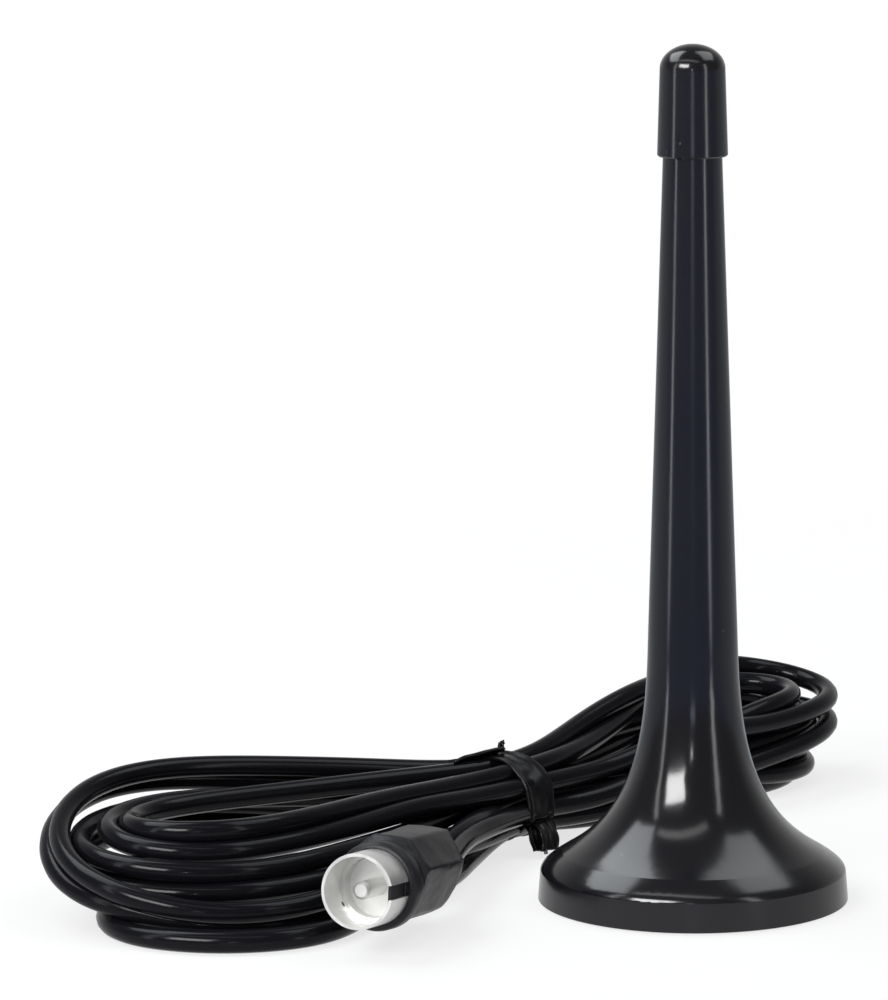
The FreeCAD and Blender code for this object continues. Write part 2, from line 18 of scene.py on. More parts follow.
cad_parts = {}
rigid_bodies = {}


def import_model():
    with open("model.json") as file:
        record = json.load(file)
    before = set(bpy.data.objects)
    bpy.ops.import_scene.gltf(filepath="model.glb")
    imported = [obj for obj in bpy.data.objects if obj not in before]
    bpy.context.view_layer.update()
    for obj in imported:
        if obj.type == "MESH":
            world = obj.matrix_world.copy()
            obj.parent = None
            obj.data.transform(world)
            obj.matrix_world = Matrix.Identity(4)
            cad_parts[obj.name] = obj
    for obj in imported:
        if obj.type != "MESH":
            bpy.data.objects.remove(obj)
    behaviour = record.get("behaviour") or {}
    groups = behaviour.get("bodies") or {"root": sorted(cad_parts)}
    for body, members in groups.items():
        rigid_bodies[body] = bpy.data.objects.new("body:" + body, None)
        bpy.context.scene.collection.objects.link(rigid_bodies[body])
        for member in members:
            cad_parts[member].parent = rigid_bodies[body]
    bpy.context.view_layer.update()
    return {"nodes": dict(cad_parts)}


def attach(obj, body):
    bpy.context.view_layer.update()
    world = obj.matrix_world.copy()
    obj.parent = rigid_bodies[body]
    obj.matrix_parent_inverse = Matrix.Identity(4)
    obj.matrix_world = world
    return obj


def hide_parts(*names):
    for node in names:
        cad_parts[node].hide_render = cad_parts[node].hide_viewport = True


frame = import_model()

MM = 0.001
nodes = frame["nodes"]

# %% [markdown]
# ## The camera
#
# The picture was taken from well back with a long lens, a little above the mast's middle.
# The mast stands right of centre and upright, so the camera is turned to the left and rolled a
# little. A shifted lens would do the same here, but it would push the other views off centre.

# %% Camera
FRAME_WIDTH, FRAME_HEIGHT = 888, 1000
PIXEL_FOCUS = 5550.0
STRAIGHT_AHEAD = (692.7, 477.9)
CAMERA_PLACE = Vector((0.0, -0.700, 0.168))
GAZE_HEIGHT = 0.055
CAMERA_ROLL = math.radians(-0.448)
SENSOR = 36.0

gaze = (Vector((0.0, 0.0, GAZE_HEIGHT)) - CAMERA_PLACE).normalized()
side = Vector((1.0, 0.0, 0.0))
lift = side.cross(gaze)
to_middle = gaze + side * (FRAME_WIDTH / 2 - STRAIGHT_AHEAD[0]) / PIXEL_FOCUS
to_middle += lift * (STRAIGHT_AHEAD[1] - FRAME_HEIGHT / 2) / PIXEL_FOCUS
lens = bpy.data.cameras.new("camera")
lens.sensor_width = SENSOR
lens.lens = PIXEL_FOCUS / FRAME_HEIGHT * SENSOR
camera = bpy.data.objects.new("camera", lens)
turn = to_middle.to_track_quat("-Z", "Y").to_matrix() @ Matrix.Rotation(CAMERA_ROLL, 3, "Z")
camera.matrix_world = Matrix.Translation(CAMERA_PLACE) @ turn.to_4x4()
bpy.context.scene.collection.objects.link(camera)
bpy.context.scene.camera = camera
print("lens", round(lens.lens, 1), "mm")

# %% [markdown]
# ## The lead: points to lay it by
#
# The lead is a thin coaxial cable, 2.8 mm thick. It leaves the back of the foot, runs into a hank
# of seven turns tied at its waist, and comes out of the tie to the plug.
# The hank has its own directions: along it, across it and up, measured from the tie.
# Each loop is half an oval with a middle, a height, a half length and a half width. It may tilt, and
# it droops at its far end, because a loop that nothing holds sinks onto the ones below.

# %% The hank's directions and loops
LEAD_RADIUS = 1.4
HANK_WAIST = np.array((-24.0, 31.5, 0.0))
HANK_HEADING = math.radians(46.6)
along = np.array((math.cos(HANK_HEADING), math.sin(HANK_HEADING), 0.0))
across = np.array((-math.sin(HANK_HEADING), math.cos(HANK_HEADING), 0.0))
upward = np.array((0.0, 0.0, 1.0))
hank_axes = np.stack((along, across, upward))


def from_hank(points):
    return HANK_WAIST + np.asarray(points, float) @ hank_axes


def to_hank(points):
    return (np.asarray(points, float) - HANK_WAIST) @ hank_axes.T


PLUG_MOUTH = np.array((-41.4, -34.0, 8.8))
PLUG_AXIS = np.array((0.331, 0.937, -0.113))
PLUG_AXIS = PLUG_AXIS / np.linalg.norm(PLUG_AXIS)
PLUG_LENGTH = 26.5
STRAIGHT_INTO_PLUG = 3.0
LEAD_POINTS = [(0, 15.4, 3.0), (0, 29.0, 3.0), (0.8, 45.0, 1.8), (5.0, 60.0, 2.2)]
TAIL_POINTS = [(-23.8, 24.4, 5.6), (-26.0, 16.0, 6.2), (-30.0, 6.5, 6.2)]
TAIL_POINTS.append(tuple(PLUG_MOUTH + PLUG_AXIS * (PLUG_LENGTH + STRAIGHT_INTO_PLUG)))
TAIL_POINTS.append(tuple(PLUG_MOUTH + PLUG_AXIS * PLUG_LENGTH))

# middle along, middle across, height, half length, half width, tilt, droop
LEFT_LOOPS = [
    (-52.0, -6.3, 1.6, 22.5, 18.0, 0.00, 0.0),
    (-50.0, 2.5, 7.6, 21.5, 17.5, 0.06, 0.4),
    (-50.0, 2.5, 9.0, 25.0, 21.5, 0.24, 3.0),
    (-50.0, 1.0, 10.0, 25.2, 21.0, 0.275, 2.8),
    (-50.0, 3.0, 9.8, 21.6, 16.5, 0.07, 0.0),
    (-51.5, 2.5, 11.9, 16.5, 12.5, 0.06, 0.0),
    (-53.5, 1.5, 12.9, 12.0, 10.2, -0.02, 0.0),
]
RIGHT_LOOPS = [
    (48.0, 4.5, 1.6, 9.5, 9.0, 0.00, 0.0),
    (50.0, 4.5, 4.2, 9.5, 9.0, 0.03, 0.0),
    (50.5, 4.5, 6.4, 9.5, 9.0, 0.06, 0.0),
    (55.2, 4.5, 9.6, 10.0, 9.0, 0.08, 0.0),
    (52.0, 4.5, 9.0, 9.0, 8.8, 0.04, 0.0),
    (50.0, 4.5, 10.6, 9.0, 8.6, 0.06, 0.0),
    (55.0, 4.5, 13.8, 10.5, 9.2, 0.16, 0.3),
    (48.0, 4.5, 14.0, 8.8, -8.8, 0.10, 0.3),
]
# where the strands lie in the tie, across and up
BACK_STRANDS = [(1.45, 2.9), (4.3, 5.5), (4.3, 8.3), (2.9, 11.4), (1.45, 5.5), (1.45, 8.3), (0.4, 12.0)]
FRONT_STRANDS = [
    (-1.45, 2.9), (-1.45, 5.5), (-4.0, 3.6), (-4.4, 6.6), (-1.45, 8.3), (-4.3, 9.2), (-2.4, 11.4),
]
TAIL_STRAND = (-5.0, 5.4)
# the last turn passes over the others in a low hump
TOP_HUMP = [(31.0, 5.7, 16.6), (24.0, 5.3, 15.8), (17.0, 5.0, 14.6)]
TIE_REACH = 5.0
LOOP_ANGLES = np.radians((-105, -70, -35, 0, 35, 70, 105))


def loop_points(end, loop, turn_sense):
    """Points round one loop: end is 1 on the right and -1 on the left, and so is the sense of its turn."""
    middle, aside, height, half_length, half_width, tilt, droop = loop
    swing = half_width * turn_sense * np.sin(LOOP_ANGLES)
    far = np.clip(np.cos(LOOP_ANGLES), 0.0, 1.0)
    level = np.maximum(height + tilt * swing - droop * far ** 2, LEAD_RADIUS)
    return np.stack((middle + end * half_length * np.cos(LOOP_ANGLES), aside + swing, level), axis=1)


laid = [to_hank(LEAD_POINTS), loop_points(1, RIGHT_LOOPS[0], 1)[1:]]
for turn_number, left in enumerate(LEFT_LOOPS):
    back, front = BACK_STRANDS[turn_number], FRONT_STRANDS[turn_number]
    if left is LEFT_LOOPS[-1]:
        laid.append(TOP_HUMP)
    laid.append([(TIE_REACH, *back), (-TIE_REACH, *back)])
    laid.append(loop_points(-1, left, -1))
    laid.append([(-TIE_REACH, *front), (TIE_REACH, *front)])
    laid.append(loop_points(1, RIGHT_LOOPS[turn_number + 1], 1))
laid.append([(TIE_REACH, *TAIL_STRAND)])
laid.append(to_hank(TAIL_POINTS))
laid = from_hank(np.concatenate([np.asarray(piece, float) for piece in laid]))
print("points laid by hand:", len(laid))

# %% [markdown]
# ## The lead: one smooth line
#
# A NURBS spline along the listed points gives a line without corners, as a real cable has.
# The order and the clamped ends are set after the points are added. A copy of the curve without a
# bevel, turned into a mesh, hands back the points along that smooth line.

# %% Smooth lines
def smooth_curve(name, points, steps):
    data = bpy.data.curves.new(name, "CURVE")
    data.dimensions = "3D"
    spline = data.splines.new("NURBS")
    spline.points.add(len(points) - 1)
    for place, point in zip(spline.points, points):
        place.co = (*(np.asarray(point, float) * MM), 1.0)
    spline.order_u = 3
    spline.use_endpoint_u = True
    spline.resolution_u = steps
    made = bpy.data.objects.new(name, data)
    bpy.context.scene.collection.objects.link(made)
    return made


def line_points(points, steps=10):
    helper = smooth_curve("helper_line", points, steps)
    mesh = bpy.data.meshes.new_from_object(helper)
    found = np.array([vertex.co for vertex in mesh.vertices]) / MM
    bpy.data.objects.remove(helper)
    bpy.data.meshes.remove(mesh)
    return found


def even_steps(line, step):
    runs = np.linalg.norm(np.diff(line, axis=0), axis=1)
    covered = np.concatenate(([0.0], np.cumsum(runs)))
    count = round(covered[-1] / step)
    marks = np.linspace(0.0, covered[-1], count + 1)
    return np.stack([np.interp(marks, covered, line[:, axis]) for axis in range(3)], axis=1)


CORD_STEP = 2.5
loose_line = even_steps(line_points(laid), CORD_STEP)
print("laid line:", len(loose_line), "steps")

# %% [markdown]
# ## The lead: let it settle
#
# The turns as laid pass through each other. A short relaxation mends that. These are its parts: strands
# push each other a diameter apart, the line keeps its length, the tie squeezes the waist, and the
# floor, the foot and the plug stay in the way.

# %% What acts on the turns
SPREAD, STRETCH = 0.25, 0.4
STRAND_GAP = 2 * LEAD_RADIUS * 1.02
# pairs of points nearer than WATCHED_GAP are listed, but not neighbours on one strand
WATCHED_GAP, SAME_STRAND = STRAND_GAP + 3.0, 9.0
PAST_THE_FOOT = 40.0
TIE_HALF_WIDTH, TIE_HALF_HEIGHT, TIE_MIDDLE, TIE_SQUEEZE = 6.6, 5.8, 7.0, 3.5
PLUG_ROOM, PLUG_PUSH, FOOT_ROOM = 0.1, 0.6, 0.3
# depth along the plug and radius there, then height on the foot and mast and radius there
PLUG_OUTLINE = (
    (-2, 0, 5, 5.5, 8.5, 9, 21, 23.5, 26.5, 28),
    (0, 4.75, 4.75, 5.6, 5.6, 6.8, 6.8, 2.7, 2.1, 0),
)
FOOT_OUTLINE = ((0, 6, 8, 12, 20, 32, 110), (20, 18.5, 16, 11.5, 8, 5.84, 3.6))


def close_strands(place):
    apart = np.linalg.norm(place[:, None] - place[None], axis=2)
    return np.where(np.triu(apart < WATCHED_GAP, math.ceil(SAME_STRAND / CORD_STEP)))


def push_apart(place, share, first, second):
    between = place[second] - place[first]
    distance = np.linalg.norm(between, axis=1)[:, None] + 1e-9
    push = between / distance * np.maximum(STRAND_GAP - distance, 0.0) * SPREAD
    np.add.at(place, first, -push * share[first])
    np.add.at(place, second, push * share[second])


def keep_length(place, share, step):
    """Bring every second step back to its length, then the ones between."""
    count = len(place)
    for start in (0, 1):
        near = slice(start, count - 1, 2)
        far = slice(start + 1, count, 2)
        run = place[far] - place[near]
        length = np.linalg.norm(run, axis=1, keepdims=True)
        mend = run / length * (length - step) * STRETCH
        place[near] += mend * share[near]
        place[far] -= mend * share[far]


def squeeze_waist(place, free):
    local = to_hank(place)
    aside = local[:, 1] / (TIE_HALF_WIDTH - LEAD_RADIUS)
    above = (local[:, 2] - TIE_MIDDLE) / (TIE_HALF_HEIGHT - LEAD_RADIUS)
    reach = np.hypot(aside, above)
    tied = (np.abs(local[:, 0]) < TIE_SQUEEZE) & (reach > 1.0) & free
    local[tied, 1] /= reach[tied]
    local[tied, 2] = TIE_MIDDLE + (local[tied, 2] - TIE_MIDDLE) / reach[tied]
    place[tied] = from_hank(local[tied])


def keep_clear(place, free):
    """Keep the line out of the plug, the foot and the floor."""
    depth = (place - PLUG_MOUTH) @ PLUG_AXIS
    outward = place - PLUG_MOUTH - depth[:, None] * PLUG_AXIS
    width = np.linalg.norm(outward, axis=1)
    room = np.interp(depth, *PLUG_OUTLINE) + LEAD_RADIUS + PLUG_ROOM
    beside = (depth > PLUG_OUTLINE[0][0]) & (depth < PLUG_OUTLINE[0][-1])
    hit = beside & (width < room) & free
    place[hit] += outward[hit] * ((room - width) / width * PLUG_PUSH)[hit][:, None]
    width = np.hypot(place[:, 0], place[:, 1])
    room = np.interp(place[:, 2], *FOOT_OUTLINE) + LEAD_RADIUS + FOOT_ROOM
    hit = (width < room) & free & (np.arange(len(place)) > PAST_THE_FOOT / CORD_STEP)
    place[hit, :2] *= (room / width)[hit][:, None]
    place[free, 2] = np.maximum(place[free, 2], LEAD_RADIUS)


print("strands kept", round(STRAND_GAP, 2), "mm apart")

# %% [markdown]
# ## The lead: the rounds
#
# Each round pulls the line a little towards where it was laid, lets it sink, and evens out its
# curvature as a stiff jacket does. Then the parts above act on it. The pull fades, so that the turns
# end where they rest on each other. Both ends are held, at the foot and at the plug.

# %% Settle the turns
ROUNDS, ROUNDS_TO_LIST = 600, 8
PULL, SINK, STIFFNESS = 0.012, 0.004, 0.35
HELD_AT_FOOT, HELD_AT_PLUG = 24.0, 12.0


def settle(line):
    place = line.copy()
    free = np.ones(len(place), bool)
    free[:int(HELD_AT_FOOT / CORD_STEP)] = False
    free[-int(HELD_AT_PLUG / CORD_STEP):] = False
    share = free.astype(float)[:, None]
    step = np.linalg.norm(np.diff(line, axis=0), axis=1).mean()
    for done in range(ROUNDS):
        place += share * (line - place) * PULL * (1.0 - done / ROUNDS)
        place[:, 2] -= SINK * share[:, 0]
        even = place.copy()
        even[2:-2] = (4 * (place[1:-3] + place[3:-1]) - place[:-4] - place[4:]) / 6
        place += share * STIFFNESS * (even - place)
        if done % ROUNDS_TO_LIST == 0:
            first, second = close_strands(place)
        push_apart(place, share, first, second)
        keep_length(place, share, step)
        squeeze_waist(place, free)
        keep_clear(place, free)
    return place


settled = settle(loose_line)

# %% [markdown]
# ## Finishes: shared effects
#
# Most of the object is black plastic, and its looks come from small things: a faint orange peel in
# the gloss, broad patches that are a little more matt, and dust. These are node groups, so that
# several materials can share them. A group gives out only values that vary over the surface.

# %% Node groups
def add_node(tree, kind, values=None, **settings):
    made = tree.nodes.new(kind)
    for name, value in settings.items():
        setattr(made, name, value)
    for name, value in (values or {}).items():
        made.inputs[name].default_value = value
    return made


def new_group(name, outputs):
    tree = bpy.data.node_groups.new(name, "ShaderNodeTree")
    for label in outputs:
        tree.interface.new_socket(label, in_out="OUTPUT", socket_type="NodeSocketFloat")
    return tree, add_node(tree, "NodeGroupOutput"), add_node(tree, "ShaderNodeTexCoord")


def noise_band(tree, place, scale, low, high, detail=2.0, stretch=(1.0, 1.0, 1.0)):
    """Noise with scale cells to the metre, from 0 where it is low to 1 where it is high."""
    spread = add_node(tree, "ShaderNodeMapping", {"Scale": stretch})
    grain = add_node(tree, "ShaderNodeTexNoise", {"Scale": scale, "Detail": detail})
    band = add_node(tree, "ShaderNodeMapRange", {"From Min": low, "From Max": high})
    tree.links.new(place, spread.inputs["Vector"])
    tree.links.new(spread.outputs["Vector"], grain.inputs["Vector"])
    tree.links.new(grain.outputs["Fac"], band.inputs["Value"])
    return band.outputs["Result"]


skin, skin_out, skin_place = new_group("moulded_skin", ("Matt", "Peel", "Dust"))
place = skin_place.outputs["Object"]
matt = noise_band(skin, place, scale=45.0, low=0.35, high=0.7)
peel = noise_band(skin, place, scale=900.0, low=0.2, high=0.8)
rare = noise_band(skin, place, scale=160.0, low=0.62, high=0.68)
specks = add_node(skin, "ShaderNodeTexVoronoi", {"Scale": 420.0, "Randomness": 1.0})
tiny = add_node(skin, "ShaderNodeMapRange", {"From Min": 0.085, "From Max": 0.05})
dust = add_node(skin, "ShaderNodeMath", operation="MULTIPLY")
skin.links.new(place, specks.inputs["Vector"])
skin.links.new(specks.outputs["Distance"], tiny.inputs["Value"])
skin.links.new(tiny.outputs["Result"], dust.inputs[0])
skin.links.new(rare, dust.inputs[1])
skin.links.new(matt, skin_out.inputs["Matt"])
skin.links.new(peel, skin_out.inputs["Peel"])
skin.links.new(dust.outputs["Value"], skin_out.inputs["Dust"])

metal, metal_out, metal_place = new_group("drawn_metal", ("Lines", "Tarnish"))
place = metal_place.outputs["Object"]
lines = noise_band(metal, place, scale=700.0, low=0.3, high=0.7, detail=3.0, stretch=(1.0, 1.0, 0.04))
tarnish = noise_band(metal, place, scale=160.0, low=0.45, high=0.75, detail=4.0)
metal.links.new(lines, metal_out.inputs["Lines"])
metal.links.new(tarnish, metal_out.inputs["Tarnish"])

rough, rough_out, rough_place = new_group("rough_grain", ("Grain", "Blotch"))
place = rough_place.outputs["Object"]
grain = noise_band(rough, place, scale=2400.0, low=0.3, high=0.7, detail=4.0)
blotch = noise_band(rough, place, scale=120.0, low=0.35, high=0.7, detail=3.0)
rough.links.new(grain, rough_out.inputs["Grain"])
rough.links.new(blotch, rough_out.inputs["Blotch"])
print("groups:", [tree.name for tree in (skin, metal, rough)])

# %% [markdown]
# ## Finishes: materials
#
# Each material is one Principled shader. What is the same all over is set on the shader itself, and
# the groups drive the colour, the roughness and the bump.

# %% Materials
PEEL_DEPTH, LINE_DEPTH, GRAIN_DEPTH = 0.0001, 0.00005, 0.0001


def new_finish(name, group, **fixed):
    finish = bpy.data.materials.new(name)
    finish.use_nodes = True
    tree = finish.node_tree
    shader = tree.nodes["Principled BSDF"]
    for label, value in fixed.items():
        shader.inputs[label.replace("_", " ").title().replace("Ior", "IOR")].default_value = value
    effects = add_node(tree, "ShaderNodeGroup", node_tree=group)
    return finish, tree, shader, effects


def vary_colour(tree, shader, mask, base, other):
    blend = add_node(tree, "ShaderNodeMix", data_type="RGBA")
    blend.inputs["A"].default_value = (*base, 1.0)
    blend.inputs["B"].default_value = (*other, 1.0)
    tree.links.new(mask, blend.inputs["Factor"])
    tree.links.new(blend.outputs["Result"], shader.inputs["Base Color"])
    return blend


def vary_roughness(tree, shader, mask, low, high):
    band = add_node(tree, "ShaderNodeMapRange", {"To Min": low, "To Max": high})
    tree.links.new(mask, band.inputs["Value"])
    tree.links.new(band.outputs["Result"], shader.inputs["Roughness"])


def add_bump(tree, shader, height, strength, depth):
    bump = add_node(tree, "ShaderNodeBump", {"Strength": strength, "Distance": depth})
    tree.links.new(height, bump.inputs["Height"])
    tree.links.new(bump.outputs["Normal"], shader.inputs["Normal"])


def plastic(name, base, dusty, gloss, low, high, peel):
    finish, tree, shader, effects = new_finish(name, skin, specular_ior_level=gloss)
    vary_colour(tree, shader, effects.outputs["Dust"], base, dusty)
    vary_roughness(tree, shader, effects.outputs["Matt"], low, high)
    add_bump(tree, shader, effects.outputs["Peel"], peel, PEEL_DEPTH)
    return finish


def metallic(name, base, dull, low, high, strength, share):
    finish, tree, shader, effects = new_finish(name, metal, metallic=share)
    vary_colour(tree, shader, effects.outputs["Tarnish"], base, dull)
    vary_roughness(tree, shader, effects.outputs["Lines"], low, high)
    add_bump(tree, shader, effects.outputs["Lines"], strength, LINE_DEPTH)
    return finish


def grainy(name, base, other, low, high, strength):
    finish, tree, shader, effects = new_finish(name, rough)
    vary_colour(tree, shader, effects.outputs["Blotch"], base, other)
    vary_roughness(tree, shader, effects.outputs["Grain"], low, high)
    add_bump(tree, shader, effects.outputs["Grain"], strength, GRAIN_DEPTH)
    return finish


def add_crease(finish, inner, outer, depth):
    """A shallow fall between two radii round the mast's axis, which only the gloss shows."""
    tree = finish.node_tree
    where = add_node(tree, "ShaderNodeTexCoord")
    flat = add_node(tree, "ShaderNodeVectorMath", {1: (1.0, 1.0, 0.0)}, operation="MULTIPLY")
    away = add_node(tree, "ShaderNodeVectorMath", operation="LENGTH")
    fall = add_node(tree, "ShaderNodeMapRange", {"From Min": inner, "From Max": outer, "To Max": -depth})
    ring = add_node(tree, "ShaderNodeBump", {"Strength": 1.0, "Distance": 1.0})
    tree.links.new(where.outputs["Object"], flat.inputs[0])
    tree.links.new(flat.outputs["Vector"], away.inputs[0])
    tree.links.new(away.outputs["Value"], fall.inputs["Value"])
    tree.links.new(fall.outputs["Result"], ring.inputs["Height"])
    tree.links.new(ring.outputs["Normal"], tree.nodes["Bump"].inputs["Normal"])


def add_painted_shade_spot(finish, middle, radius, colour):
    """A small spot of painted shade round one point, standing for the shade of a slit that is not modelled.
    """
    tree = finish.node_tree
    shader = tree.nodes["Principled BSDF"]
    below = shader.inputs["Base Color"].links[0].from_socket
    where = add_node(tree, "ShaderNodeTexCoord")
    away = add_node(tree, "ShaderNodeVectorMath", {1: middle}, operation="DISTANCE")
    inside = add_node(tree, "ShaderNodeMapRange", {"From Min": radius * 1.2, "From Max": radius * 0.8})
    tree.links.new(where.outputs["Object"], away.inputs[0])
    tree.links.new(away.outputs["Value"], inside.inputs["Value"])
    mark = vary_colour(tree, shader, inside.outputs["Result"], colour, colour)
    tree.links.new(below, mark.inputs["A"])


print("kinds of finish: plastic, metallic, grainy")

# %% [markdown]
# ## Finishes: the list
#
# The gloss gets one thing more: a shallow ring that makes the start of the foot's shoulder look crisp.
# The nickel sleeve gets a small spot of painted shade inside its mouth: the shade of a small slit in its
# inner wall, which is not modelled.

# %% The list of finishes
# base colour, dust, gloss, least and most roughness, orange peel
PLASTICS = {
    "gloss_black": ((0.006, 0.006, 0.008), (0.05, 0.05, 0.05), 0.50, 0.13, 0.20, 0.03),
    "cable_jacket": ((0.006, 0.006, 0.008), (0.03, 0.03, 0.03), 0.12, 0.14, 0.22, 0.08),
    "moulded_black": ((0.009, 0.009, 0.012), (0.06, 0.06, 0.06), 0.29, 0.36, 0.50, 0.25),
    "tie_black": ((0.004, 0.004, 0.005), (0.05, 0.05, 0.05), 0.20, 0.26, 0.40, 0.15),
}
# base colour, tarnish, least and most roughness, drawn lines, metallic share
METALS = {
    "whip_chrome": ((0.80, 0.80, 0.82), (0.70, 0.70, 0.71), 0.06, 0.14, 0.05, 1.0),
    "plug_nickel": ((0.80, 0.80, 0.78), (0.66, 0.65, 0.62), 0.32, 0.44, 0.10, 0.92),
    "spring_bronze": ((0.70, 0.46, 0.25), (0.50, 0.30, 0.16), 0.22, 0.38, 0.10, 1.0),
    "terminal_brass": ((0.80, 0.62, 0.30), (0.60, 0.44, 0.20), 0.20, 0.34, 0.10, 1.0),
    "tinned_steel": ((0.66, 0.66, 0.66), (0.50, 0.50, 0.51), 0.28, 0.44, 0.10, 1.0),
    "copper_braid": ((0.83, 0.47, 0.30), (0.60, 0.30, 0.18), 0.24, 0.40, 0.20, 1.0),
}
# base colour, blotches, least and most roughness, grain
GRAINY = {
    "ferrite": ((0.030, 0.030, 0.032), (0.055, 0.053, 0.052), 0.55, 0.75, 0.30),
    "foot_foam": ((0.018, 0.018, 0.019), (0.032, 0.032, 0.032), 0.75, 0.95, 0.60),
    "insulator_white": ((0.86, 0.86, 0.85), (0.82, 0.82, 0.80), 0.38, 0.52, 0.08),
}
SHOULDER_INNER, SHOULDER_OUTER, SHOULDER_FALL = 0.0169, 0.0196, 0.0005
# painted shade: a small dark spot on the sleeve's inner wall, where a slit that is not modelled would lie
# in shade
SLIT_SHADE_PLACE, SLIT_SHADE_RADIUS, SLIT_SHADE_COLOUR = (-0.04345, -0.02873, 0.00599), 0.00035, (0.02, 0.02, 0.02)

finishes = {name: plastic(name, *values) for name, values in PLASTICS.items()}
finishes.update({name: metallic(name, *values) for name, values in METALS.items()})
finishes.update({name: grainy(name, *values) for name, values in GRAINY.items()})
add_crease(finishes["gloss_black"], SHOULDER_INNER, SHOULDER_OUTER, SHOULDER_FALL)
# the sleeve's inner wall gets its spot of painted shade
add_painted_shade_spot(finishes["plug_nickel"], SLIT_SHADE_PLACE, SLIT_SHADE_RADIUS, SLIT_SHADE_COLOUR)
dressed = 0
for solid in nodes.values():
    for slot in solid.material_slots:
        slot.material = finishes[slot.material.name.split(".")[0]]
        dressed += 1
print("solids dressed:", dressed)

# %% [markdown]
# ## The lead: the tube
#
# The settled line is the control line of the visible cable. Its first and last points are the ones
# given in the lists, so the cable comes straight out of its grommet and goes straight into the plug.
# A bevel gives the curve its thickness.

# %% The lead
CONTROL_STEP, CURVE_STEPS, ROUNDNESS = 5.0, 4, 5
control = even_steps(settled, CONTROL_STEP)
out_of_foot = np.linalg.norm(control - np.array(LEAD_POINTS[2]), axis=1).argmin()
into_plug = np.linalg.norm(control - np.array(TAIL_POINTS[1]), axis=1).argmin()
route = list(LEAD_POINTS[:3]) + list(control[out_of_foot + 2:into_plug - 1]) + list(TAIL_POINTS[1:])
lead = smooth_curve("lead", route, CURVE_STEPS)
lead.data.bevel_depth = LEAD_RADIUS * MM
lead.data.bevel_resolution = ROUNDNESS
lead.data.use_fill_caps = True
lead.data.materials.append(finishes["cable_jacket"])
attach(lead, "aerial")
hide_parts("cable_lead", "cable_hank", "cable_tail")
print("lead control points:", len(route))

# %% [markdown]
# ## The tie
#
# The tie is a plastic film with a thin wire along each edge. It goes round the waist, and its ends
# are twisted together in front. One more end lies loose on the top.
# Each strip is a grid bent along a line, with a ridge for each wire, and a solidify modifier gives
# the film its thickness. The line round the waist is the outline of the strands that the tie holds.

# %% The tie
WIRE_HEIGHT, WIRE_PLACE, WIRE_WIDTH = 0.40, 0.84, 0.10
FILM_CREASE, CREASE_ALONG, CREASE_ACROSS, CREASE_SEED = 0.32, 0.14, 1.5, 0.37
FILM_THICKNESS, FILM_GAP = 0.2, 0.15
TIE_PLACE, TIE_HOLDS = -2.0, 2.5
TWIST_ANGLE, FRONT_ANGLE = math.radians(212), 0.5
TURN_STEPS, TURN_EVENED, TURN_COLUMNS = 120, 6, 18
TURN_WOBBLE, LEAST_HALF_WIDTH, WIDER_IN_FRONT = 0.3, 1.5, 1.0
strands = to_hank(settled)
strands = strands[np.abs(strands[:, 0] - TIE_PLACE) < TIE_HOLDS][:, 1:]


def round_waist(angle):
    """Point of the strands' outline, and the way out from it, across and up."""
    outward = np.array((math.cos(angle), math.sin(angle)))
    farthest = strands[(strands @ outward).argmax()]
    return farthest + outward * (LEAD_RADIUS + FILM_GAP), outward


def add_strip(shape, spots, sides, faces, half_widths, columns):
    """A strip along spots, as wide as sides tell, with its wires raised along faces."""
    grid = bmesh.ops.create_grid(shape, x_segments=len(spots) - 1, y_segments=columns, size=1.0)
    for vertex in grid["verts"]:
        row = round((vertex.co.x + 1.0) / 2.0 * (len(spots) - 1))
        offset = vertex.co.y
        rise = WIRE_HEIGHT * math.exp(-((abs(offset) - WIRE_PLACE) / WIRE_WIDTH) ** 2)
        crease = noise.noise((row * CREASE_ALONG, offset * CREASE_ACROSS, len(spots) * CREASE_SEED))
        rise += FILM_CREASE * crease
        vertex.co = Vector(spots[row] + sides[row] * offset * half_widths[row] + faces[row] * rise)


def evened(values, reach):
    """Mean of each value and its neighbours."""
    return [np.mean(values[max(row - reach, 0):row + reach + 1], axis=0) for row in range(len(values))]


tie_shape = bmesh.new()
spots, faces, half_widths = [], [], []
for step in range(TURN_STEPS + 1):
    angle = TWIST_ANGLE - 2 * math.pi * step / TURN_STEPS
    (aside, height), (out_aside, out_up) = round_waist(angle)
    to_front = (1.0 - math.cos(angle + FRONT_ANGLE)) / 2
    spots.append(np.array((TIE_PLACE + TURN_WOBBLE * math.sin(3 * angle), aside, height)))
    faces.append(np.array((0.0, out_aside, out_up)))
    half_widths.append(LEAST_HALF_WIDTH + WIDER_IN_FRONT * to_front ** 2)
spots = evened(spots, TURN_EVENED)
sides = [np.array((1.0, 0.0, 0.0))] * len(spots)
add_strip(tie_shape, spots, sides, faces, half_widths, TURN_COLUMNS)
print("tie turn:", len(spots), "rows")

# %% [markdown]
# ## The tie's ends
#
# The twisted ends hang in front as a small bunch, and one flat end lies on the top.
# A few points give the way each one bends, and a lean tells which way its width lies.

# %% The tie's ends
END_STEP, END_COLUMNS = 0.4, 12
RAGGED, RAGGED_ALONG, RAGGED_SEED = 0.35, 0.25, 0.5
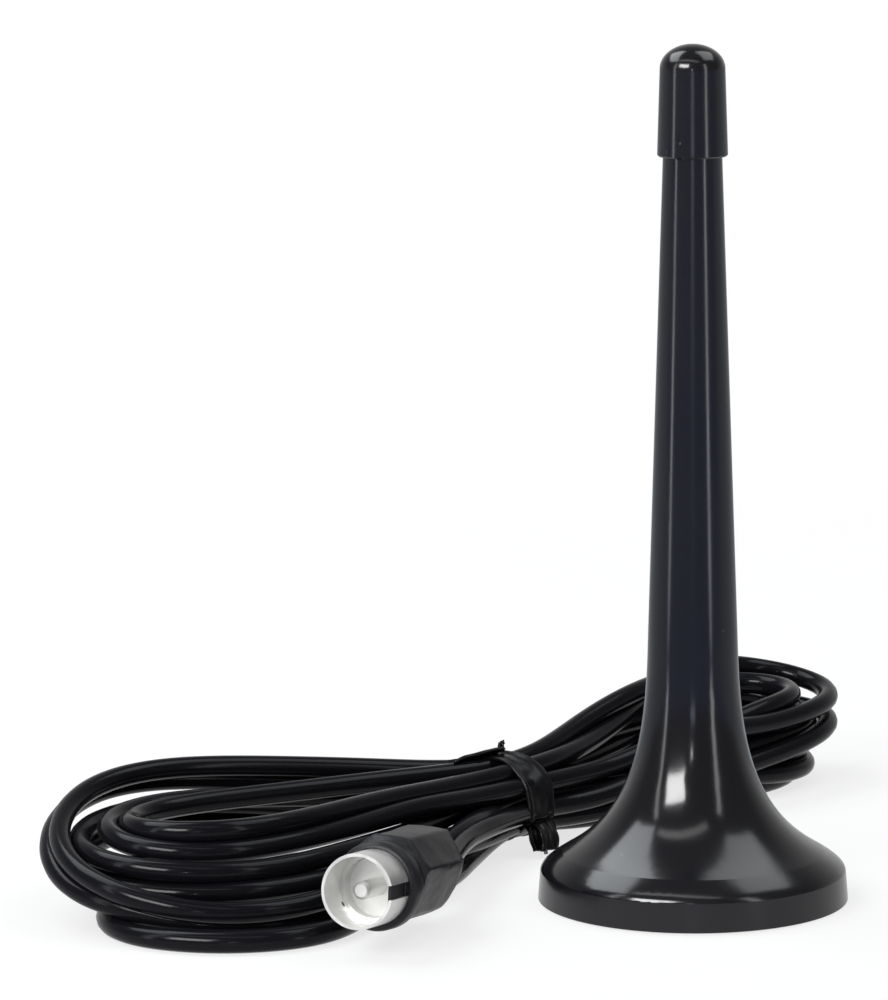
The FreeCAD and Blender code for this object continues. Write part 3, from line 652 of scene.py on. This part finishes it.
# points along the hank, across and up, then the lean and the half width
TIE_ENDS = [
    ([(-3.2, -5.9, 4.6), (-3.6, -7.4, 3.6), (-3.8, -8.2, 2.0), (-4.0, -8.6, 0.9)], (0.9, 0.1, 0.4), 0.9),
    ([(-2.2, -6.1, 4.6), (-2.6, -7.9, 3.8), (-3.0, -8.8, 2.0), (-3.4, -9.3, 0.7)], (0.8, 0.5, 0.2), 1.0),
    ([(-1.4, -6.2, 4.6), (-1.4, -7.8, 3.6), (-1.8, -8.6, 1.9), (-2.0, -9.0, 0.8)], (0.9, -0.4, 0.1), 1.0),
    ([(-0.6, -6.2, 4.6), (-0.2, -7.3, 3.8), (-0.4, -8.1, 2.4), (-0.8, -8.4, 1.3)], (0.7, 0.5, 0.5), 0.8),
    ([(-1.8, 1.0, 12.8), (-3.0, 1.2, 12.9), (-4.6, 1.4, 12.6), (-7.0, 1.8, 12.3), (-9.8, 2.2, 11.9)],
     (0.1, 1.0, -0.4), 1.2),
    ([(-1.6, 1.2, 12.6), (-1.5, 1.3, 13.5), (-1.2, 1.3, 14.0), (-0.8, 1.2, 13.8)], (1.0, 0.0, 0.2), 0.40),
]


def mesh_object(name, shape):
    mesh = bpy.data.meshes.new(name)
    shape.to_mesh(mesh)
    shape.free()
    made = bpy.data.objects.new(name, mesh)
    bpy.context.scene.collection.objects.link(made)
    return made


for way, lean, half_width in TIE_ENDS:
    line = even_steps(line_points(way), END_STEP)
    ahead = np.gradient(line, axis=0)
    ahead /= np.linalg.norm(ahead, axis=1)[:, None]
    wide = np.cross(np.cross(ahead, np.array(lean)), ahead)
    wide /= np.linalg.norm(wide, axis=1)[:, None]
    ragged = [noise.noise((row * RAGGED_ALONG, half_width, RAGGED_SEED)) for row in range(len(line))]
    half_widths = [half_width * (1.0 + RAGGED * value) for value in ragged]
    add_strip(tie_shape, list(line), list(wide), list(np.cross(wide, ahead)), half_widths, END_COLUMNS)
bmesh.ops.recalc_face_normals(tie_shape, faces=tie_shape.faces)
for face in tie_shape.faces:
    face.smooth = True
for vertex in tie_shape.verts:
    vertex.co = Vector(from_hank(vertex.co)) * MM
band = mesh_object("tie_band", tie_shape)
film = band.modifiers.new("film", "SOLIDIFY")
film.thickness = FILM_THICKNESS * MM
film.offset = 0.0
band.data.materials.append(finishes["tie_black"])
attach(band, "aerial")
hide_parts("twist_tie")
print("tie:", len(band.data.polygons), "faces")

# %% [markdown]
# ## The plug body
#
# The plug's body is soft plastic moulded over the sleeve and the lead: a round collar, then a thick
# grip with flats for the fingers, then a taper to the lead.
# A profile spun round the plug's axis makes it, and small moves of its points give the wrinkled,
# hand-finished look.

# %% The plug body
SPIN_STEPS, LONG_EDGE, LONG_EDGE_CUTS, SAME_POINT = 96, 2.0, 9, 0.001
# radius and depth from the plug's mouth
BOOT_PROFILE = [
    (4.30, 12.0), (4.30, 5.55), (5.00, 5.50), (5.42, 5.70), (5.60, 6.15), (5.62, 7.9), (5.50, 8.35),
    (5.20, 8.75), (5.60, 9.10), (6.15, 9.50), (6.40, 10.3), (6.40, 20.2), (6.20, 21.2), (5.30, 22.0),
    (3.60, 23.0), (2.80, 23.7), (2.40, 25.0), (2.10, 26.2), (1.90, 26.5), (1.45, 26.5), (1.45, 12.0),
]


def plug_frame():
    forward = Vector(PLUG_AXIS)
    right = forward.cross(Vector((0.0, 0.0, 1.0))).normalized()
    top = right.cross(forward)
    turn = Matrix((right, top, forward)).transposed().to_4x4()
    return Matrix.Translation(Vector(PLUG_MOUTH) * MM) @ turn


boot_shape = bmesh.new()
rim = [boot_shape.verts.new((radius, 0.0, depth)) for radius, depth in BOOT_PROFILE]
edges = [boot_shape.edges.new((first, second)) for first, second in zip(rim, rim[1:] + rim[:1])]
long_edges = [edge for edge in edges if edge.calc_length() > LONG_EDGE]
bmesh.ops.subdivide_edges(boot_shape, edges=long_edges, cuts=LONG_EDGE_CUTS)
bmesh.ops.spin(boot_shape, geom=boot_shape.verts[:] + boot_shape.edges[:], cent=(0, 0, 0), axis=(0, 0, 1),
               angle=2 * math.pi, steps=SPIN_STEPS, use_merge=True)
bmesh.ops.remove_doubles(boot_shape, verts=boot_shape.verts, dist=SAME_POINT)
bmesh.ops.recalc_face_normals(boot_shape, faces=boot_shape.faces)
print("plug body spun:", len(boot_shape.faces), "faces")

# %% [markdown]
# ## The plug body: flats and wear
#
# The grip has flats of unequal depth and slightly slanted ends, and its skin is uneven. Each flat
# presses in whatever stands out beyond it. The grip also sits a little above the plug's axis.
# A small key of the same plastic lies inside the sleeve, behind its slot.

# %% The plug body's grip
GRIP_START, GRIP_RISE, GRIP_END, GRIP_FALL = 8.8, 0.7, 24.0, 3.0
GRIP_LIFT, GRIP_BORE = 0.4, 1.6
SLEEVE_SEAT_RADIUS, SLEEVE_SEAT_DEPTH = 4.35, 12.1
TOP_SLANT, BOTTOM_SLANT, SLANT_START, SLANT_RISE = 0.20, 0.50, 14.0, 6.0
# direction round the axis in degrees from the right, and distance from the grip's middle
FLATS = [(88, 5.55), (36, 5.6), (-22, 4.6), (-68, 5.2), (-125, 5.6), (170, 5.7), (128, 5.7)]
FLAT_PRESS = 0.9
DENT, DENT_SCALE, WRINKLE, WRINKLE_SCALE, SHRINK = 0.22, 0.25, 0.10, 0.8, 0.02
KEY_MIDDLE, KEY_SIZE = (4.13, 0.0, 2.9), (0.36, 2.4, 4.6)
FLAT_FACE_AREA = 0.8


def clamped(value):
    return min(max(value, 0.0), 1.0)


for vertex in boot_shape.verts:
    reach = math.hypot(vertex.co.x, vertex.co.y)
    grip = clamped((vertex.co.z - GRIP_START) / GRIP_RISE) * clamped((GRIP_END - vertex.co.z) / GRIP_FALL)
    if reach <= GRIP_BORE or grip <= 0.0:
        continue
    for turned, distance in FLATS:
        way = Vector((math.cos(math.radians(turned)), math.sin(math.radians(turned)), 0.0))
        over = max(vertex.co.dot(way) - distance, 0.0)
        vertex.co -= way * over * FLAT_PRESS * grip
    dent = DENT * noise.noise(vertex.co * DENT_SCALE) + WRINKLE * noise.noise(vertex.co * WRINKLE_SCALE)
    scale = 1.0 + grip * (dent - SHRINK) / reach
    vertex.co.x *= scale
    vertex.co.y *= scale
    late = clamped((vertex.co.z - SLANT_START) / SLANT_RISE)
    slant = TOP_SLANT if vertex.co.y > 0.0 else BOTTOM_SLANT
    vertex.co.z += slant * vertex.co.y * late * grip
    if reach > SLEEVE_SEAT_RADIUS or vertex.co.z > SLEEVE_SEAT_DEPTH:
        vertex.co.y += GRIP_LIFT * grip
bmesh.ops.create_cube(boot_shape, size=1.0, matrix=Matrix.LocRotScale(KEY_MIDDLE, None, KEY_SIZE))
for face in boot_shape.faces:
    face.smooth = len(face.verts) < 4 or face.calc_area() < FLAT_FACE_AREA
bmesh.ops.transform(boot_shape, matrix=plug_frame() @ Matrix.Scale(MM, 4), verts=boot_shape.verts)
boot = mesh_object("plug_body", boot_shape)
boot.data.materials.append(finishes["moulded_black"])
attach(boot, "aerial")
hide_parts("plug_boot")
print("plug body:", len(boot.data.polygons), "faces")

# %% [markdown]

# %% [markdown]
# ## The stage: shared nodes
#
# The floor and the world look one way to the camera, another way to gloss and glass, and a third way to
# everything else. So both need to know what kind of ray meets them, and both use ramps.

# %% Shared nodes
PURE_WHITE = (1.0, 1.0, 1.0, 1.0)


def ray_kinds(tree):
    """Camera rays, and the rays that gloss and glass send out."""
    path = add_node(tree, "ShaderNodeLightPath")
    either = add_node(tree, "ShaderNodeMath", operation="MAXIMUM")
    tree.links.new(path.outputs["Is Glossy Ray"], either.inputs[0])
    tree.links.new(path.outputs["Is Transmission Ray"], either.inputs[1])
    return path.outputs["Is Camera Ray"], either.outputs["Value"]


def ramp(tree, value, start, end, low=0.0, high=1.0):
    """The value brought to low at start and to high at end, and evenly from one to the other."""
    made = add_node(tree, "ShaderNodeMapRange", {"From Min": start, "From Max": end})
    made.inputs["To Min"].default_value = low
    made.inputs["To Max"].default_value = high
    tree.links.new(value, made.inputs["Value"])
    return made.outputs["Result"]


def mixed(tree, share, first, second):
    """Colour from first to second, each a colour or what another node gives out."""
    made = add_node(tree, "ShaderNodeMix", data_type="RGBA")
    tree.links.new(share, made.inputs["Factor"])
    for label, colour in (("A", first), ("B", second)):
        if isinstance(colour, tuple):
            made.inputs[label].default_value = colour
        else:
            tree.links.new(colour, made.inputs[label])
    return made.outputs["Result"]


print("shared nodes: ray kinds, ramps, mixes")

# %% [markdown]
# ## The stage: floor
#
# The object stands on white. To the camera the floor is mostly its own white, more so far away, and
# the rest of it is lit, so it keeps the soft shadow.
# Black gloss looks black only because most of what it mirrors is dark. So gloss and glass see a floor
# that is pale near the object and dark farther off, bluish in front and greyer at the sides and far
# away.

# %% Floor
FLOOR_HALF = 6.0
PAPER, PAPER_ROUGHNESS, PAPER_GLOSS = (0.88, 0.88, 0.88, 1.0), 0.9, 0.1
NEAR_GLOW, GLOW_FROM, GLOW_TO = 0.74, 0.10, 0.36
NEAR_MIRROR, NEAR_FROM, NEAR_TO = (0.72, 0.72, 0.73, 1.0), 0.08, 0.22
FRONT_MIRROR = (0.22, 0.25, 0.42, 1.0)
OFF_MIRROR, OFF_FROM, OFF_TO = (0.30, 0.32, 0.40, 1.0), 1.2, 2.2
SIDE_MIRROR, SIDE_FROM, SIDE_TO = (0.40, 0.43, 0.46, 1.0), -0.18, 0.0

floor_shape = bmesh.new()
bmesh.ops.create_grid(floor_shape, x_segments=1, y_segments=1, size=FLOOR_HALF)
floor = mesh_object("floor", floor_shape)
paper = bpy.data.materials.new("paper")
paper.use_nodes = True
tree = paper.node_tree
sheet = tree.nodes["Principled BSDF"]
sheet.inputs["Base Color"].default_value = PAPER
sheet.inputs["Roughness"].default_value = PAPER_ROUGHNESS
sheet.inputs["Specular IOR Level"].default_value = PAPER_GLOSS
where = add_node(tree, "ShaderNodeTexCoord")
away = add_node(tree, "ShaderNodeVectorMath", operation="LENGTH")
depth = add_node(tree, "ShaderNodeSeparateXYZ")
tree.links.new(where.outputs["Object"], away.inputs[0])
tree.links.new(where.outputs["Object"], depth.inputs["Vector"])
distance = away.outputs["Value"]
front = mixed(tree, ramp(tree, distance, OFF_FROM, OFF_TO), FRONT_MIRROR, OFF_MIRROR)
far = mixed(tree, ramp(tree, depth.outputs["Y"], SIDE_FROM, SIDE_TO), front, SIDE_MIRROR)
mirror = mixed(tree, ramp(tree, distance, NEAR_FROM, NEAR_TO), NEAR_MIRROR, far)
seen, mirrored = ray_kinds(tree)
glow = add_node(tree, "ShaderNodeEmission")
amount = add_node(tree, "ShaderNodeMath", operation="MULTIPLY")
either = add_node(tree, "ShaderNodeMath", operation="MAXIMUM")
blend = add_node(tree, "ShaderNodeMixShader")
tree.links.new(mixed(tree, seen, mirror, PURE_WHITE), glow.inputs["Color"])
tree.links.new(seen, amount.inputs[0])
tree.links.new(ramp(tree, distance, GLOW_FROM, GLOW_TO, low=NEAR_GLOW), amount.inputs[1])
tree.links.new(amount.outputs["Value"], either.inputs[0])
tree.links.new(mirrored, either.inputs[1])
tree.links.new(either.outputs["Value"], blend.inputs["Fac"])
tree.links.new(sheet.outputs["BSDF"], blend.inputs[1])
tree.links.new(glow.outputs["Emission"], blend.inputs[2])
tree.links.new(blend.outputs["Shader"], tree.nodes["Material Output"].inputs["Surface"])
floor.data.materials.append(paper)
print("floor laid:", 2 * FLOOR_HALF, "m wide")

# %% [markdown]
# ## The stage: world
#
# The world is white to the camera. Gloss and glass see one that is pale behind the object and dim
# overhead and in front, as a room is. To everything else it is a quiet fill.

# %% World
FILL, DIM, PALE = 0.40, 0.16, 0.7
PALE_SIDE, PALE_FROM, PALE_TO = (0.0, 0.8, -0.6), 0.0, 0.7

world = bpy.data.worlds.new("studio")
bpy.context.scene.world = world
world.use_nodes = True
tree = world.node_tree
backdrop = tree.nodes["Background"]
backdrop.inputs["Color"].default_value = PURE_WHITE
facing = add_node(tree, "ShaderNodeTexCoord")
behind = add_node(tree, "ShaderNodeVectorMath", {1: PALE_SIDE}, operation="DOT_PRODUCT")
tree.links.new(facing.outputs["Generated"], behind.inputs[0])
room = ramp(tree, behind.outputs["Value"], PALE_FROM, PALE_TO, low=DIM, high=PALE)
level = add_node(tree, "ShaderNodeMapRange", {"To Min": FILL})
strength = add_node(tree, "ShaderNodeMapRange", {"To Max": 1.0})
seen, mirrored = ray_kinds(tree)
tree.links.new(mirrored, level.inputs["Value"])
tree.links.new(room, level.inputs["To Max"])
tree.links.new(seen, strength.inputs["Value"])
tree.links.new(level.outputs["Result"], strength.inputs["To Min"])
tree.links.new(strength.outputs["Result"], backdrop.inputs["Strength"])
bpy.context.scene.view_settings.view_transform = "Standard"
print("world:", world.name)

# %% [markdown]
# ## Lamps
#
# Two soft boxes hang overhead, left and right, and give the foot its two pale patches. Two strips
# stand beside the mast and show in it as upright lines. A window in front on the left gives the small
# square on the flare, a narrow overhead bar the pale band below it, a small flash the bright dashes, and
# a far card the bluish streak on the cap. A low lamp shines into the plug's mouth.
# The strips, the window's pane, the bar, the flash and the card show in gloss only, so that they don't
# wash out the rest. The window itself and the low lamp light only what is matt.

# %% Lamps
WHITE, COOL, BLUISH = (1.0, 1.0, 1.0), (0.93, 0.97, 1.0), (0.72, 0.78, 1.0)


def soft_box(name, place, aim, width, height, glow, spin=0.0, shows_in="both", colour=WHITE):
    lamp = bpy.data.lights.new(name, "AREA")
    lamp.shape = "RECTANGLE"
    lamp.size = width
    lamp.size_y = height
    lamp.color = colour
    lamp.energy = glow * math.pi * width * height
    made = bpy.data.objects.new(name, lamp)
    turned = (Vector(aim) - Vector(place)).to_track_quat("-Z", "Y").to_matrix().to_4x4()
    spun = Matrix.Rotation(math.radians(spin), 4, "Z")
    made.matrix_world = Matrix.Translation(Vector(place)) @ turned @ spun
    made.visible_camera = False
    made.visible_diffuse = shows_in != "gloss"
    made.visible_glossy = shows_in != "matt"
    bpy.context.scene.collection.objects.link(made)


# place, what it faces, width, height and brightness
soft_box("box_left", (-0.37, 0.135, 0.50), (-0.37, 0.125, 0.0), 0.46, 0.36, 4.6, spin=47.0, colour=COOL)
soft_box("box_right", (0.27, 0.10, 0.50), (0.27, 0.09, 0.0), 0.33, 0.36, 2.7, spin=45.0, colour=COOL)
soft_box("window", (-0.55, -0.88, 0.60), (0.0, 0.0, 0.02), 0.60, 0.35, 9.0, shows_in="matt")
soft_box("window_pane", (-0.53, -0.848, 0.58), (0.0, 0.0, 0.02), 0.60, 0.35, 20.0, shows_in="gloss")
soft_box("mouth_light", (-0.62, -0.80, 0.08), (-0.04, -0.03, 0.01), 0.25, 0.12, 24.0, shows_in="matt")
soft_box("strip_left", (-0.272, -0.127, 0.15), (0.0, 0.0, 0.15), 0.03, 0.30, 4.0, shows_in="gloss")
soft_box("strip_right", (0.219, -0.205, 0.15), (0.0, 0.0, 0.15), 0.035, 0.30, 4.0, shows_in="gloss")
soft_box("bar", (-0.08, -0.23, 0.50), (0.0, 0.0, 0.0), 0.50, 0.06, 2.5, shows_in="gloss")
soft_box("flash", (-0.02, -0.75, 0.19), (0.0, 0.0, 0.03), 0.03, 0.03, 40.0, shows_in="gloss")
soft_box("far_card", (0.0, -1.80, 0.06), (0.0, 0.0, 0.08), 0.30, 0.11, 2.6, shows_in="gloss", colour=BLUISH)
print("lamps placed:", len(bpy.data.lights))
